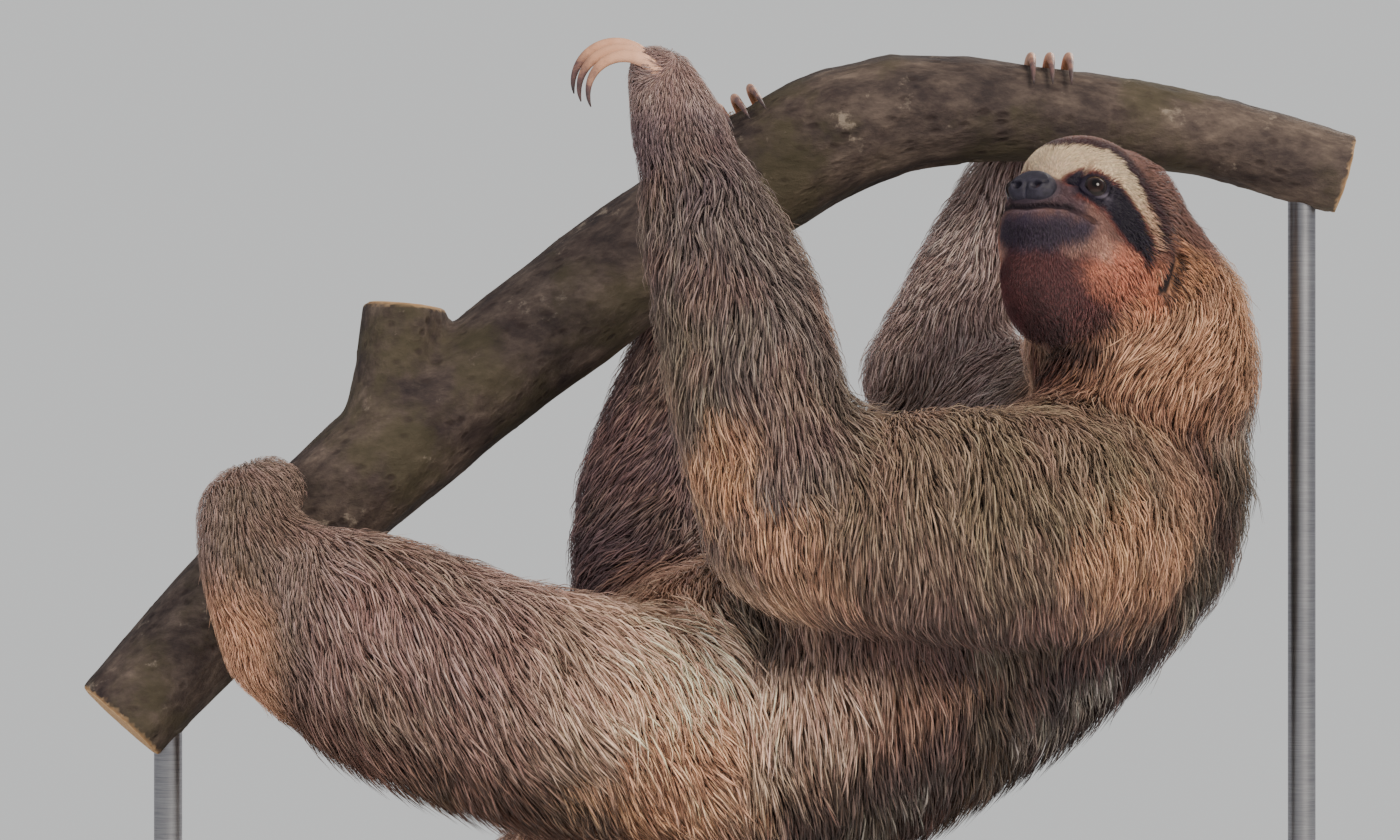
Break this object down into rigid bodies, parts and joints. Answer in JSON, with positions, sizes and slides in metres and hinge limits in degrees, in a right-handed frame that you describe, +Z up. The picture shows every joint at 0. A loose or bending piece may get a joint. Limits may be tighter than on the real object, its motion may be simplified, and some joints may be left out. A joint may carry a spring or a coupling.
{
  "type": "three-toed sloth",
  "caption": "Life-size still model of a three-toed sloth slung belly-up under a short cut bough, with shaggy coat and hooked claws, held over a flat base by rods.",
  "frame": {"origin": "middle of the underside of the stand's base, on the floor", "axes": "+X runs along the bough towards the head, +Z is up, and -Y is the side of the animal's left arm"},
  "size_m": [0.66, 0.3008, 0.5256],
  "materials": {
    "body_coat": "coarse grey-brown hair with a green cast, matte",
    "limb_coat": "coarse straw and grey-brown hair, matte",
    "nose": "black, slightly moist skin",
    "eye": "dark brown, wet and glossy",
    "claw": "cream horn with darker tips, satin",
    "bark": "rough bark with lichen, pale sawn ends",
    "base": "dark stained board, satin",
    "rod": "brushed steel"
  },
  "bodies": {
    "root": {"trunk": "body_coat", "neck": "body_coat", "head": "body_coat", "tail": "body_coat", "ear_left": "body_coat", "ear_right": "body_coat", "upper_arm_left": "limb_coat", "forearm_left": "limb_coat", "hand_left": "limb_coat", "thigh_left": "limb_coat", "shank_left": "limb_coat", "foot_left": "limb_coat", "upper_arm_right": "limb_coat", "forearm_right": "limb_coat", "hand_right": "limb_coat", "thigh_right": "limb_coat", "shank_right": "limb_coat", "foot_right": "limb_coat", "claw_hand_left_1": "claw", "claw_hand_left_2": "claw", "claw_hand_left_3": "claw", "claw_hand_right_1": "claw", "claw_hand_right_2": "claw", "claw_hand_right_3": "claw", "claw_foot_left_1": "claw", "claw_foot_left_2": "claw", "claw_foot_left_3": "claw", "claw_foot_right_1": "claw", "claw_foot_right_2": "claw", "claw_foot_right_3": "claw", "eye_left": "eye", "eye_right": "eye", "nose": "nose", "perch_bough": "bark", "stand_base": "base", "stand_rod_left": "rod", "stand_rod_right": "rod"}
  },
  "joints": []
}
